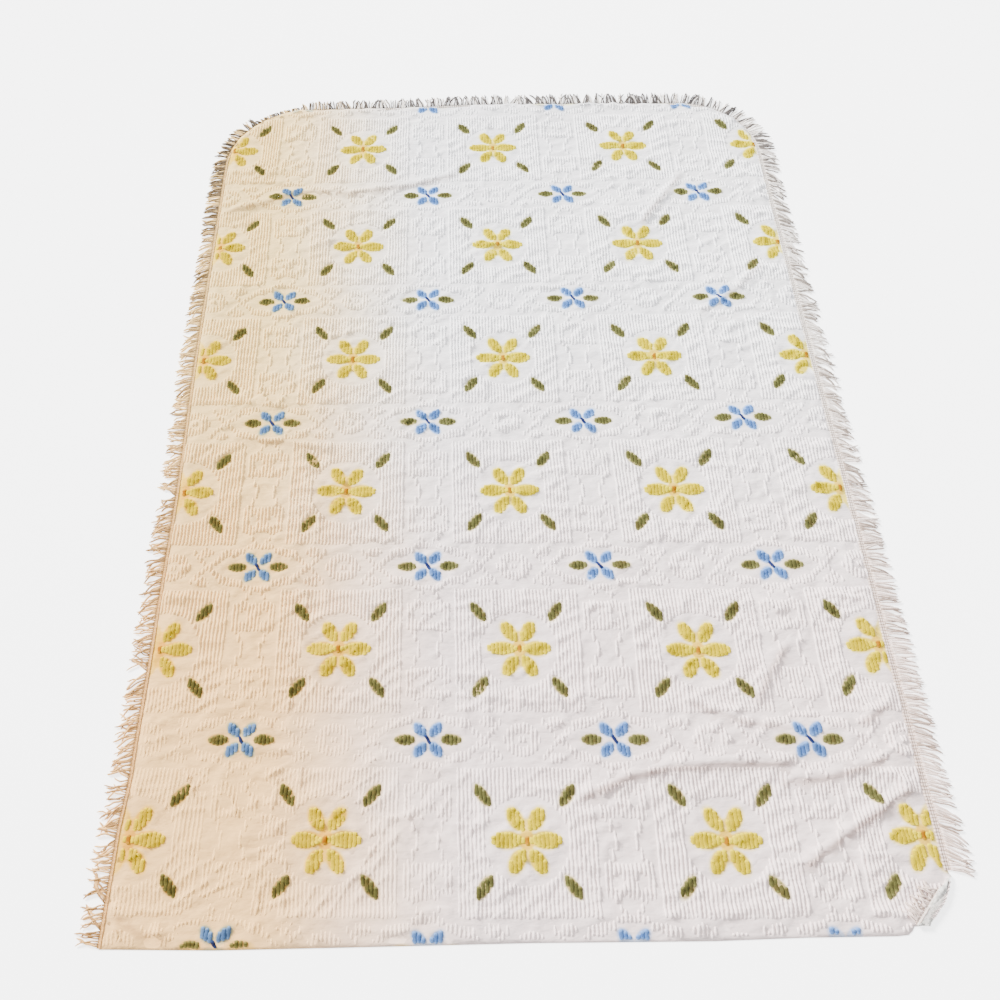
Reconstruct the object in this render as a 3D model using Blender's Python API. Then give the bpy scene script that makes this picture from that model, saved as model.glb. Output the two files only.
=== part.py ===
"""Chenille bedspread with rounded foot corners, laid face up on a floor, with its fringe spread around it.

Metres, +Z up. X runs across the cloth. Y runs from the straight head hem, at low Y, to the rounded foot.
The spread is one closed sheet. Its fringe is a trim round the two sides and the foot: narrow strips, one for
each side and each corner, whose hanging locks grow out of the strip and rest level on the floor.
The corner at the head end of the right side is turned over on itself, with its own short run of fringe.
"""

import math
import random
from collections import namedtuple

import bpy
from mathutils import Vector
from mathutils.geometry import delaunay_2d_cdt

# ---- driving sizes ----------------------------------------------------------------------------------------

THICKNESS = 0.004          # woven ground with its pile
LEFT_CORNER_RADIUS = 0.285
RIGHT_CORNER_RADIUS = 0.255
EDGE_STEP = 0.045          # distance between points along the cut edge
CORNER_STEPS = 12          # chords in a rounded corner
LATTICE_STEP = 0.110       # distance between points in the flat parts of the cloth
LATTICE_CLEARANCE = 0.050  # from those points to the edge and to the folds

# The two long edges wander a little: where they lie at each distance along the cloth.
Side = namedtuple("Side", "y left right")
SIDES = [
    Side(-1.400, -0.9545, 0.9450),
    Side(-1.170, -0.9520, 0.9445),
    Side(-1.010, -0.9425, 0.9410),
    Side(-0.665, -0.9385, 0.9390),
    Side(-0.255, -0.9340, 0.9380),
    Side(0.205, -0.9395, 0.9340),
    Side(0.660, -0.9385, 0.9315),
    Side(0.935, -0.9370, 0.9290),
]

# The foot edge between its rounded corners, left to right.
FootPoint = namedtuple("FootPoint", "x y")
FOOT = [
    FootPoint(-0.700, 1.330),
    FootPoint(-0.360, 1.332),
    FootPoint(-0.070, 1.342),
    FootPoint(0.230, 1.339),
    FootPoint(0.700, 1.333),
]

# The head hem, left to right. Its right end draws in under the turned corner.
HemPoint = namedtuple("HemPoint", "x y")
HEM = [
    HemPoint(-0.9545, -1.3950),
    HemPoint(-0.7000, -1.3960),
    HemPoint(-0.4000, -1.3890),
    HemPoint(0.0000, -1.3790),
    HemPoint(0.4000, -1.3740),
    HemPoint(0.6000, -1.3665),
    HemPoint(0.8000, -1.3630),
    HemPoint(0.8240, -1.3605),
    HemPoint(0.8345, -1.3530),
    HemPoint(0.8410, -1.3440),
    HemPoint(0.8680, -1.3415),
]

# The turned corner, from where the side starts to turn down to the hem. fold_x is where the cloth starts to
# bend up, and turned is how much of it lies past that line, the bend included.
Turn = namedtuple("Turn", "y fold_x turned")
TURNED_CORNER = [
    Turn(-1.3425, 0.8680, 0.0375),
    Turn(-1.3350, 0.8740, 0.0366),
    Turn(-1.3160, 0.8930, 0.0381),
    Turn(-1.2970, 0.9120, 0.0397),
    Turn(-1.2680, 0.9300, 0.0310),
    Turn(-1.2500, 0.9380, 0.0120),
    Turn(-1.2340, 0.9445, 0.0000),
]
BEND_RADIUS = 0.0035       # of the middle of the cloth, where it turns back over itself
BEND_CHORDS = 4            # flat strips across the bend
TURNED_STEP = 0.008        # distance between points along the bend and the turned edge

# Folds that stand up in the cloth, each a soft ridge along its own line of points.
Fold = namedtuple("Fold", "height half_width line")
FOLDS = {
    "foot_left": Fold(0.0070, 0.026, [(-0.930, 0.825), (-0.776, 0.871), (-0.685, 0.918), (-0.470, 0.912),
                                      (-0.287, 0.944), (-0.110, 1.000)]),
    "foot_right": Fold(0.0070, 0.028, [(0.655, 1.000), (0.594, 0.906), (0.536, 0.830), (0.470, 0.735)]),
    "head_long": Fold(0.0085, 0.026, [(0.120, -1.075), (0.243, -1.022), (0.344, -0.999), (0.490, -0.990),
                                      (0.660, -0.988)]),
    "head_side": Fold(0.0080, 0.024, [(0.595, -1.036), (0.733, -1.018), (0.830, -0.990), (0.925, -0.958)]),
    "head_corner": Fold(0.0090, 0.028, [(0.600, -1.232), (0.690, -1.176), (0.778, -1.122), (0.929, -1.035)]),
    "middle_bow": Fold(0.0050, 0.024, [(0.400, -0.828), (0.480, -0.866), (0.560, -0.892), (0.680, -0.905)]),
    "side_short": Fold(0.0070, 0.026, [(0.810, -0.900), (0.929, -0.838)]),
    "middle_short": Fold(0.0065, 0.030, [(0.700, -0.680), (0.640, -0.750), (0.575, -0.858)]),
    "head_left": Fold(0.0060, 0.020, [(-0.946, -1.303), (-0.870, -1.352), (-0.785, -1.372)]),
    "left_faint": Fold(0.0035, 0.026, [(-0.800, -0.070), (-0.640, -0.085), (-0.480, -0.118)]),
    "right_faint": Fold(0.0035, 0.030, [(0.860, 0.585), (0.745, 0.465), (0.590, 0.350)]),
}
FOLD_STEP = 0.030          # distance between points along a fold
FOLD_END = 0.045           # length over which a fold rises from the flat
EDGE_CALM = 0.030          # a fold has died away where the cut edge is reached
NORMAL_REACH = 0.0008      # half the distance over which the cloth's slope is read

# The fringe: a narrow strip along the cut edge, with locks that stand apart from each other.
# A lock leans sideways by a share of its length, and strays from that by up to another share.
# Its sections past its root: share of its length, share of its root's width, and the heights between which
# it lies.
TRIM_GAP = 0.0004          # between the cloth and the strip
TRIM_WIDTH = 0.008
TRIM_HEIGHT = 0.003
TRIM_JOIN_GAP = 0.0006     # between the ends of two strips
LENGTH_SPREAD = 0.12       # how much one lock's length differs from the next
TRACK_STEP = 0.004         # distance between the points that the strips follow
TRACK_CORNER_STEPS = 120
OUTWARD_REACH = 0.012      # half the distance over which the edge's direction is read
Section = namedtuple("Section", "along width low high")
Trim = namedtuple("Trim", "low high pitch root lean stray sections")
FLOOR_TRIM = Trim(low=0.0, high=TRIM_HEIGHT, pitch=0.027, root=0.012, lean=0.0, stray=0.22, sections=[
    Section(0.45, 0.95, 0.0, 0.0028),
    Section(1.00, 0.62, 0.0, 0.0022),
])

# The short run of fringe on the turned corner falls from the flap onto the cloth, back towards the head hem.
FLAP_LEVEL = THICKNESS / 2 + 2 * BEND_RADIUS
FLAP_LOCK_LENGTH = 0.040
FLAP_TRIM = Trim(low=FLAP_LEVEL - TRIM_HEIGHT / 2, high=FLAP_LEVEL + TRIM_HEIGHT / 2,
                 pitch=0.0125, root=0.006, lean=-0.6, stray=0.08, sections=[
                     Section(0.35, 1.00, 0.0046, 0.0076),
                     Section(1.00, 0.60, 0.0044, 0.0066),
                 ])
FLAP_TRIM_LOW_Y, FLAP_TRIM_HIGH_Y = -1.3405, -1.2700

# How far the fringe reaches past the strip, by distance round the trim from the head end of the left side.
# It is tucked away on part of the left foot corner.
Reach = namedtuple("Reach", "distance length")
REACHES = [
    Reach(0.00, 0.042),
    Reach(0.30, 0.042),
    Reach(1.00, 0.044),
    Reach(2.45, 0.044),
    Reach(2.66, 0.043),
    Reach(2.70, 0.012),
    Reach(2.84, 0.012),
    Reach(2.88, 0.045),
    Reach(3.30, 0.050),
    Reach(4.10, 0.052),
    Reach(4.60, 0.046),
    Reach(6.00, 0.047),
    Reach(7.20, 0.049),
]

CLOTH_COLOUR = (0.86, 0.83, 0.80)
FRINGE_COLOUR = (0.84, 0.79, 0.74)


# ---- small helpers ----------------------------------------------------------------------------------------

def between(rows, at, column, ease=False):
    """The value of a column at a place along a table's first column, straight or easing between rows."""
    if at <= rows[0][0]:
        return getattr(rows[0], column)
    for before, after in zip(rows, rows[1:]):
        if at <= after[0]:
            share = (at - before[0]) / (after[0] - before[0])
            if ease:
                share = 0.5 - 0.5 * math.cos(math.pi * share)
            return getattr(before, column) * (1 - share) + getattr(after, column) * share
    return getattr(rows[-1], column)


def stepped(points, step):
    """The polyline through points, with more points between them so that none is over step apart."""
    found = [Vector(points[0])]
    for start, end in zip(points, points[1:]):
        start, end = Vector(start), Vector(end)
        count = max(1, math.ceil((end - start).length / step - 1e-6))
        found += [start.lerp(end, k / count) for k in range(1, count + 1)]
    return found


def material(name, colour):
    """A matt cloth material."""
    made = bpy.data.materials.new(name)
    made.use_nodes = True
    shader = made.node_tree.nodes["Principled BSDF"]
    shader.inputs["Base Color"].default_value = (*colour, 1)
    shader.inputs["Roughness"].default_value = 0.9
    shader.inputs["Metallic"].default_value = 0.0
    made.diffuse_color = (*colour, 1)
    return made


def solid(name, points, faces, finish, parent):
    """One closed body as an object of its own."""
    mesh = bpy.data.meshes.new(name)
    mesh.from_pydata([tuple(p) for p in points], [], faces)
    mesh.materials.append(finish)
    made = bpy.data.objects.new(name, mesh)
    made.parent = parent
    bpy.context.scene.collection.objects.link(made)
    return made


# ---- the cloth's flat outline -----------------------------------------------------------------------------

def corner(centre, radius, start_degrees, end_degrees, steps):
    """Points round a corner's arc, both ends included."""
    turn = (end_degrees - start_degrees) / steps
    angles = [math.radians(start_degrees + turn * k) for k in range(steps + 1)]
    return [Vector(centre) + radius * Vector((math.cos(a), math.sin(a))) for a in angles]


def corner_centre(side_x, foot_y, radius, inward):
    """Where a foot corner's arc is centred, so that it meets its side and the foot."""
    return side_x + inward * radius, foot_y - radius


LEFT_CENTRE = corner_centre(SIDES[-1].left, FOOT[0].y, LEFT_CORNER_RADIUS, 1)
RIGHT_CENTRE = corner_centre(SIDES[-1].right, FOOT[-1].y, RIGHT_CORNER_RADIUS, -1)


def side_points(column, low, high, step):
    """Points up one long edge, from y = low to y = high."""
    count = math.ceil((high - low) / step)
    heights = [low + (high - low) * k / count for k in range(count + 1)]
    return [Vector((between(SIDES, y, column, ease=True), y)) for y in heights]


def foot_points(low, high, step):
    """Points along the foot edge, from x = low to x = high."""
    count = math.ceil((high - low) / step)
    places = [low + (high - low) * k / count for k in range(count + 1)]
    return [Vector((x, between(FOOT, x, "y", ease=True))) for x in places]


def trim_line(step, corner_steps):
    """The edge that carries the fringe, from the head end of the left side round to the turned corner."""
    left = side_points("left", HEM[0].y, LEFT_CENTRE[1], step)
    left_arc = corner(LEFT_CENTRE, LEFT_CORNER_RADIUS, 180, 90, corner_steps)
    foot = foot_points(LEFT_CENTRE[0], RIGHT_CENTRE[0], step)
    right_arc = corner(RIGHT_CENTRE, RIGHT_CORNER_RADIUS, 90, 0, corner_steps)
    right = side_points("right", TURNED_CORNER[-1].y, RIGHT_CENTRE[1], step)[::-1]
    return left + left_arc[1:] + foot[1:] + right_arc[1:] + right[1:]


def bend_places():
    """How far past the fold line the cloth's points in the bend lie, with one on each side of the bend."""
    bend = math.pi * BEND_RADIUS
    return [-2 * BEND_RADIUS] + [bend * k / BEND_CHORDS for k in range(BEND_CHORDS + 1)] + [bend + 2 * BEND_RADIUS]


def flat_outline():
    """The cloth's edge before its corner is turned, counter-clockwise from the left end of the hem."""
    hem = stepped([(p.x, p.y) for p in HEM], EDGE_STEP)
    lowest = TURNED_CORNER[0]
    hem_of_flap = [Vector((lowest.fold_x + place, lowest.y)) for place in bend_places() if place > 0]
    turned_edge = stepped([(t.fold_x + t.turned, t.y) for t in TURNED_CORNER], TURNED_STEP)
    return hem + hem_of_flap + turned_edge[:-1] + trim_line(EDGE_STEP, CORNER_STEPS)[:0:-1]


# ---- how the cloth lies -----------------------------------------------------------------------------------

def distance_to_line(x, y, line):
    """How far a point in plan is from a line of points, and how far along the line its nearest point is."""
    best, along, walked = math.inf, 0.0, 0.0
    for (x0, y0), (x1, y1) in zip(line, line[1:]):
        run_x, run_y = x1 - x0, y1 - y0
        length = math.hypot(run_x, run_y)
        share = min(1.0, max(0.0, ((x - x0) * run_x + (y - y0) * run_y) / length**2))
        gap = math.hypot(x - x0 - share * run_x, y - y0 - share * run_y)
        if gap < best:
            best, along = gap, walked + share * length
        walked += length
    return best, along, walked


def rise(share):
    """A smooth step from 0 to 1."""
    share = min(1.0, max(0.0, share))
    return share * share * (3 - 2 * share)


def edge_distance(x, y):
    """About how far a point is inside the two long edges and the hem."""
    left, right = between(SIDES, y, "left", ease=True), between(SIDES, y, "right", ease=True)
    return min(x - left, right - x, y - between(HEM, x, "y"))


def lift(x, y):
    """How high the folds hold the underside of the cloth above the floor."""
    height = 0.0
    for fold in FOLDS.values():
        gap, along, length = distance_to_line(x, y, fold.line)
        if gap < fold.half_width:
            crown = 0.5 + 0.5 * math.cos(math.pi * gap / fold.half_width)
            ends = rise(along / FOLD_END) * rise((length - along) / FOLD_END)
            height = max(height, fold.height * crown * ends)
    return height * rise(edge_distance(x, y) / EDGE_CALM)


def laid(u, y):
    """Where the middle of the cloth lies, for a point at u across the flat cloth."""
    ground = THICKNESS / 2
    if y > TURNED_CORNER[-1].y or u < TURNED_CORNER[0].fold_x:
        return Vector((u, y, ground + lift(u, y)))
    fold_x = between(TURNED_CORNER, y, "fold_x")
    past = u - fold_x
    if past <= 0:
        return Vector((u, y, ground + lift(u, y)))
    angle = min(past / BEND_RADIUS, math.pi)
    back = past - angle * BEND_RADIUS
    height = BEND_RADIUS * (1 - math.cos(angle))
    return Vector((fold_x + BEND_RADIUS * math.sin(angle) - back, y, ground + height))


def face_normal(u, y):
    """The direction in which the cloth's face looks at a point."""
    across = laid(u + NORMAL_REACH, y) - laid(u - NORMAL_REACH, y)
    along = laid(u, y + NORMAL_REACH) - laid(u, y - NORMAL_REACH)
    return across.cross(along).normalized()


# ---- the spread -------------------------------------------------------------------------------------------

def fold_points():
    """Points on each fold's crest and down both its slopes."""
    found = []
    for fold in FOLDS.values():
        line = stepped(fold.line, FOLD_STEP)
        for before, after in zip(line, line[1:]):
            across = (after - before).normalized().orthogonal()
            found += [before + across * fold.half_width * k / 2 for k in (-2, -1, 0, 1, 2)]
        found.append(line[-1])
    return found


def bend_lines(outline):
    """The lines along the turned corner's bend, each a row of points inside the outline."""
    rows = math.floor((TURNED_CORNER[-1].y - TURNED_CORNER[0].y) / TURNED_STEP)
    lines = []
    for place in bend_places():
        line = []
        for k in range(1, rows):
            y = TURNED_CORNER[0].y + TURNED_STEP * k
            if place < between(TURNED_CORNER, y, "turned") - BEND_RADIUS:
                line.append(Vector((between(TURNED_CORNER, y, "fold_x") + place, y)))
        lines.append(well_inside(line, outline, 0.002))
    return lines


def lattice_points(edge, others):
    """Points in the flat parts, clear of the edge and of the folds' own points."""
    kept = []
    rows = math.floor((FOOT[2].y - HEM[1].y) / LATTICE_STEP)
    columns = math.floor((SIDES[0].right - SIDES[0].left) / LATTICE_STEP)
    for row in range(1, rows + 1):
        for column in range(1, columns + 1):
            place = Vector((SIDES[0].left + LATTICE_STEP * column, HEM[1].y + LATTICE_STEP * row))
            if min((place - p).length for p in edge + others) > LATTICE_CLEARANCE:
                kept.append(place)
    return kept


def inside(x, y, outline):
    """True if a point in plan is inside the outline."""
    crossings = 0
    for a, b in zip(outline, outline[1:] + outline[:1]):
        if (a.y > y) != (b.y > y) and x < a.x + (b.x - a.x) * (y - a.y) / (b.y - a.y):
            crossings += 1
    return crossings % 2 == 1


def middle_of(corners):
    """The middle of a triangle in plan."""
    return sum(p.x for p in corners) / 3, sum(p.y for p in corners) / 3


def well_inside(points, outline, margin):
    """The points that are inside the outline, and more than margin from its own points."""
    return [p for p in points if inside(p.x, p.y, outline) and min((p - q).length for q in outline) > margin]


def thinned(points, gap):
    """The points, leaving out any that is closer than gap to one already kept."""
    kept = []
    for p in points:
        if all((p - q).length > gap for q in kept):
            kept.append(p)
    return kept


def make_spread(finish, parent):
    """The cloth, as one sheet: its flat cut is triangulated, laid in its folds and given its thickness."""
    outline = flat_outline()
    bends = bend_lines(outline)
    turned = [p for line in bends for p in line]
    folds = thinned(well_inside(fold_points(), outline, 0.012), 0.010)
    lattice = well_inside(lattice_points(outline, folds + turned), outline, 0.030)
    points = outline + turned + folds + lattice
    count = len(outline)
    edges = [(k, (k + 1) % count) for k in range(count)]
    first = count
    for line in bends:
        edges += [(first + k, first + k + 1) for k in range(len(line) - 1)]
        first += len(line)
    flat, _, triangles, sources = delaunay_2d_cdt(points, edges, [], 0, 1e-6, True)[:4]
    triangles = [t for t in triangles if inside(*middle_of([flat[k] for k in t]), outline)]

    normals = [face_normal(p.x, p.y) for p in flat]
    middles = [laid(p.x, p.y) for p in flat]
    top = [m + n * THICKNESS / 2 for m, n in zip(middles, normals)]
    under = [m - n * THICKNESS / 2 for m, n in zip(middles, normals)]
    for p in under:
        p.z = max(p.z, 0.0)

    total = len(flat)
    place = {source: k for k, ids in enumerate(sources) for source in ids}
    rim = [place[k] for k in range(count)]
    faces = [tuple(t) for t in triangles]
    faces += [tuple(total + k for k in reversed(t)) for t in triangles]
    for a, b in zip(rim, rim[1:] + rim[:1]):
        faces.append((b, a, total + a, total + b))
    return solid("spread", top + under, faces, finish, parent)


# ---- the fringe -------------------------------------------------------------------------------------------

class Track:
    """A line in plan that can be read by the distance along it."""

    def __init__(self, points):
        self.points = points
        self.marks = [0.0]
        for a, b in zip(points, points[1:]):
            self.marks.append(self.marks[-1] + (b - a).length)
        self.length = self.marks[-1]

    def at(self, distance):
        """The point at a distance along the line."""
        distance = min(max(distance, 0.0), self.length)
        k = next(i for i in range(1, len(self.marks)) if self.marks[i] >= distance - 1e-12)
        share = (distance - self.marks[k - 1]) / (self.marks[k] - self.marks[k - 1])
        return self.points[k - 1].lerp(self.points[k], share)

    def outward(self, distance):
        """The direction away from the cloth, to the left of the way the line runs."""
        run = self.at(distance + OUTWARD_REACH) - self.at(distance - OUTWARD_REACH)
        return Vector((-run.y, run.x)).normalized()


def box_ring(inner, outer, low, high):
    """Four corners of an upright section: first end low, first end high, second end high, second end low."""
    return [Vector((*inner, low)), Vector((*inner, high)), Vector((*outer, high)), Vector((*outer, low))]


def strip_ring(track, distance, trim):
    """The strip's section at a distance along its line, from its inner side to its outer side."""
    place, out = track.at(distance), track.outward(distance)
    return box_ring(place + out * TRIM_GAP, place + out * (TRIM_GAP + TRIM_WIDTH), trim.low, trim.high)


def lock_rings(root_start, root_end, trim, length, lean):
    """The sections of one lock past its root, each level with the root's own line so that its faces are flat."""
    run = (root_end - root_start).normalized()
    out = Vector((-run.y, run.x))
    base = (root_start + root_end) / 2
    rings = []
    for section in trim.sections:
        centre = base + length * (out * section.along + run * lean * section.along**2)
        half = run * trim.root * section.width / 2
        rings.append(box_ring(centre - half, centre + half, section.low, section.high))
    return rings


def make_trim(name, track, span, trim, length_at, rng, finish, parent):
    """One strip between two distances along a line, with its locks, as one closed body."""
    start, end = span
    count = max(1, round((end - start) / trim.pitch))
    centres = [start + (end - start) * (k + 0.5) / count for k in range(count)]
    marks = [start]
    for centre in centres:
        marks += [centre - trim.root / 2, centre + trim.root / 2]
    marks.append(end)

    points = [p for mark in marks for p in strip_ring(track, mark, trim)]
    last = 4 * (len(marks) - 1)
    faces = [(0, 1, 2, 3), (last + 3, last + 2, last + 1, last)]
    for cell in range(len(marks) - 1):
        a, b = 4 * cell, 4 * cell + 4
        faces += [(a, b, b + 1, a + 1), (a + 1, b + 1, b + 2, a + 2), (a + 3, b + 3, b, a)]
        is_between_locks = cell % 2 == 0
        if is_between_locks:
            faces.append((a + 2, b + 2, b + 3, a + 3))

    for k, centre in enumerate(centres):
        length = length_at(centre) * (1 + LENGTH_SPREAD * rng.uniform(-1, 1))
        lean = trim.lean + trim.stray * rng.uniform(-1, 1)
        left, right = 4 * (2 * k + 1), 4 * (2 * k + 2)
        ring = [left + 3, left + 2, right + 2, right + 3]
        for section in lock_rings(points[ring[1]].to_2d(), points[ring[2]].to_2d(), trim, length, lean):
            new = list(range(len(points), len(points) + 4))
            points += section
            for i, j in ((0, 1), (1, 2), (2, 3), (3, 0)):
                faces.append((ring[i], ring[j], new[j], new[i]))
            ring = new
        faces.append(tuple(ring))
    return solid(name, points, faces, finish, parent)


def reach_at(distance):
    """How long the locks are at a distance round the trim."""
    return between(REACHES, distance, "length", ease=True)


def make_fringe(finish, parent):
    """The trim round the sides and the foot, in five strips, and the short strip on the turned corner."""
    rng = random.Random(41)
    track = Track(trim_line(TRACK_STEP, TRACK_CORNER_STEPS))
    runs = {
        "fringe_left": Track(side_points("left", HEM[0].y, LEFT_CENTRE[1], TRACK_STEP)).length,
        "fringe_foot_left": LEFT_CORNER_RADIUS * math.pi / 2,
        "fringe_foot": Track(foot_points(LEFT_CENTRE[0], RIGHT_CENTRE[0], TRACK_STEP)).length,
        "fringe_foot_right": RIGHT_CORNER_RADIUS * math.pi / 2,
        "fringe_right": Track(side_points("right", TURNED_CORNER[-1].y, RIGHT_CENTRE[1], TRACK_STEP)).length,
    }
    start = 0.0
    for name, run in runs.items():
        end = min(start + run, track.length)
        span = (start + TRIM_JOIN_GAP / 2, end - TRIM_JOIN_GAP / 2)
        make_trim(name, track, span, FLOOR_TRIM, reach_at, rng, finish, parent)
        start = end

    inner = [t for t in TURNED_CORNER if FLAP_TRIM_LOW_Y < t.y < FLAP_TRIM_HIGH_Y]
    heights = [FLAP_TRIM_LOW_Y] + [t.y for t in inner] + [FLAP_TRIM_HIGH_Y]
    flap_edge = []
    for y in heights:
        u = between(TURNED_CORNER, y, "fold_x") + between(TURNED_CORNER, y, "turned")
        flap_edge.append(laid(u, y).to_2d())
    flap = Track(flap_edge)
    make_trim("fringe_turned", flap, (0.0, flap.length), FLAP_TRIM, lambda distance: FLAP_LOCK_LENGTH,
              rng, finish, parent)


# ---- the whole thing --------------------------------------------------------------------------------------

def centre_in_plan(frame):
    """Moves the frame that carries every piece so that their box is centred on the origin."""
    places = [v.co for piece in frame.children for v in piece.data.vertices]
    middle_x = (min(p.x for p in places) + max(p.x for p in places)) / 2
    middle_y = (min(p.y for p in places) + max(p.y for p in places)) / 2
    frame.location = (-middle_x, -middle_y, 0.0)


def main():
    for old in list(bpy.data.objects):
        bpy.data.objects.remove(old, do_unlink=True)
    frame = bpy.data.objects.new("bedspread", None)
    bpy.context.scene.collection.objects.link(frame)
    make_spread(material("chenille_cloth", CLOTH_COLOUR), frame)
    make_fringe(material("fringe_cotton", FRINGE_COLOUR), frame)
    centre_in_plan(frame)
    bpy.context.view_layer.update()


main()
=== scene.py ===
"""The looks of a tufted chenille bedspread, laid face up on a floor with one corner turned over.

Metres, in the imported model's frame: +X across the cloth, +Y from the head hem to the rounded foot, +Z up.
The cloth's sizes repeat the part's own, counted from the middle of its pattern. SHIFT moves them into the frame.
"""

import math
from collections import namedtuple

import bpy
import numpy as np
from mathutils import Matrix, Vector
from mathutils.geometry import delaunay_2d_cdt


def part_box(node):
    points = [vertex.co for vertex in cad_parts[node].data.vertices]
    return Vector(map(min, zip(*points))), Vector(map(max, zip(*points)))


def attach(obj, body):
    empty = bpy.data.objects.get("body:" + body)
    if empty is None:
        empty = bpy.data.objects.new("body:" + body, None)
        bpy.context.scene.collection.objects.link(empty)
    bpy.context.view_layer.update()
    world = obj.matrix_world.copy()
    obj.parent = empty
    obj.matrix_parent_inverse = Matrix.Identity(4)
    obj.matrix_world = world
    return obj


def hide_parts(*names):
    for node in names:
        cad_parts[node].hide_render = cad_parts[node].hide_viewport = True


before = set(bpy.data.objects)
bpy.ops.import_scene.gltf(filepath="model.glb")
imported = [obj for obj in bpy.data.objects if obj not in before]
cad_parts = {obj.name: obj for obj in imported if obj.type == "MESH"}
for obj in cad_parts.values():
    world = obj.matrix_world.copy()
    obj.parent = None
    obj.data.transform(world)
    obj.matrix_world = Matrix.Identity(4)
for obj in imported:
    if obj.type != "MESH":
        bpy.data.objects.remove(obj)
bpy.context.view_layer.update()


def table(kind, *rows):
    """Rows of values, each with its columns' names."""
    return [kind(*row) for row in rows]


# ---- the cloth's sizes, as in the part ----

THICKNESS = 0.004  # of the solid: woven ground with its pile
LEFT_CORNER_RADIUS = 0.285
RIGHT_CORNER_RADIUS = 0.255
BEND_RADIUS = 0.0035  # of the middle of the cloth, where it turns back over itself
FOLD_END = 0.045  # length over which a fold rises from the flat
EDGE_CALM = 0.03  # a fold has died away where the cut edge is reached
NORMAL_REACH = 0.0008  # half the distance over which the cloth's slope is read

SIDES = table(
    namedtuple("Side", "y left right"),
    (-1.4, -0.9545, 0.945), (-1.17, -0.952, 0.9445), (-1.01, -0.9425, 0.941), (-0.665, -0.9385, 0.939),
    (-0.255, -0.934, 0.938), (0.205, -0.9395, 0.934), (0.66, -0.9385, 0.9315), (0.935, -0.937, 0.929))
Point = namedtuple("Point", "x y")
FOOT = table(Point, (-0.7, 1.33), (-0.36, 1.332), (-0.07, 1.342), (0.23, 1.339), (0.7, 1.333))
HEM = table(
    Point,
    (-0.9545, -1.395), (-0.7, -1.396), (-0.4, -1.389), (0.0, -1.379), (0.4, -1.374),
    (0.6, -1.3665), (0.8, -1.363), (0.824, -1.3605), (0.8345, -1.353), (0.841, -1.344),
    (0.868, -1.3415))
CORNER = table(
    namedtuple("Turn", "y fold_x turned"),
    (-1.3425, 0.868, 0.0375), (-1.335, 0.874, 0.0366), (-1.316, 0.893, 0.0381), (-1.297, 0.912, 0.0397),
    (-1.268, 0.93, 0.031), (-1.25, 0.938, 0.012), (-1.234, 0.9445, 0.0))
REACHES = table(
    namedtuple("Reach", "distance length"),
    (0.0, 0.042), (0.3, 0.042), (1.0, 0.044), (2.45, 0.044), (2.66, 0.043), (2.7, 0.012), (2.84, 0.012),
    (2.88, 0.045), (3.3, 0.05), (4.1, 0.052), (4.6, 0.046), (6.0, 0.047), (7.2, 0.049))

Fold = namedtuple("Fold", "height half_width line")
FOLDS = table(
    Fold,
    # near the foot
    (0.007, 0.026, [(-0.93, 0.825), (-0.776, 0.871), (-0.685, 0.918), (-0.47, 0.912), (-0.287, 0.944),
                     (-0.11, 1.0)]),
    (0.007, 0.028, [(0.655, 1.0), (0.594, 0.906), (0.536, 0.83), (0.47, 0.735)]),
    # by the head's right side
    (0.0085, 0.026, [(0.12, -1.075), (0.243, -1.022), (0.344, -0.999), (0.49, -0.99), (0.66, -0.988)]),
    (0.008, 0.024, [(0.595, -1.036), (0.733, -1.018), (0.83, -0.99), (0.925, -0.958)]),
    (0.009, 0.028, [(0.6, -1.232), (0.69, -1.176), (0.778, -1.122), (0.929, -1.035)]),
    (0.005, 0.024, [(0.4, -0.828), (0.48, -0.866), (0.56, -0.892), (0.68, -0.905)]),
    (0.007, 0.026, [(0.81, -0.9), (0.929, -0.838)]),
    (0.0065, 0.03, [(0.7, -0.68), (0.64, -0.75), (0.575, -0.858)]),
    # at the head's left corner
    (0.006, 0.02, [(-0.946, -1.303), (-0.87, -1.352), (-0.785, -1.372)]),
    # faint ones
    (0.0035, 0.026, [(-0.8, -0.07), (-0.64, -0.085), (-0.48, -0.118)]),
    (0.0035, 0.03, [(0.86, 0.585), (0.745, 0.465), (0.59, 0.35)]))
CREASES = table(  # shallower, and seen only by the light on them
    Fold,
    (0.0022, 0.022, [(-0.59, -1.33), (-0.2, -1.322), (0.25, -1.318), (0.76, -1.3)]),
    (0.002, 0.016, [(-0.67, -1.204), (-0.535, -1.206)]),
    (0.0018, 0.014, [(0.022, -0.76), (0.026, -0.5), (0.02, -0.3)]),
    (0.0025, 0.02, [(-0.93, -0.575), (-0.86, -0.57), (-0.8, -0.59)]),
    (0.0022, 0.018, [(-0.79, -0.071), (-0.64, -0.085), (-0.49, -0.117)]),
    (0.0024, 0.02, [(0.078, -0.13), (0.16, -0.08), (0.243, -0.039)]),
    (0.0016, 0.015, [(0.64, -0.345), (0.69, -0.28), (0.733, -0.208)]),
    (0.0026, 0.022, [(0.856, 0.583), (0.745, 0.465), (0.595, 0.354)]),
    (0.0026, 0.02, [(0.723, 0.706), (0.67, 0.655), (0.627, 0.615)]))

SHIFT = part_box("spread")[0].to_2d() - Vector((SIDES[0].left, HEM[1].y))

# ---- sizes that only the looks need ----

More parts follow.
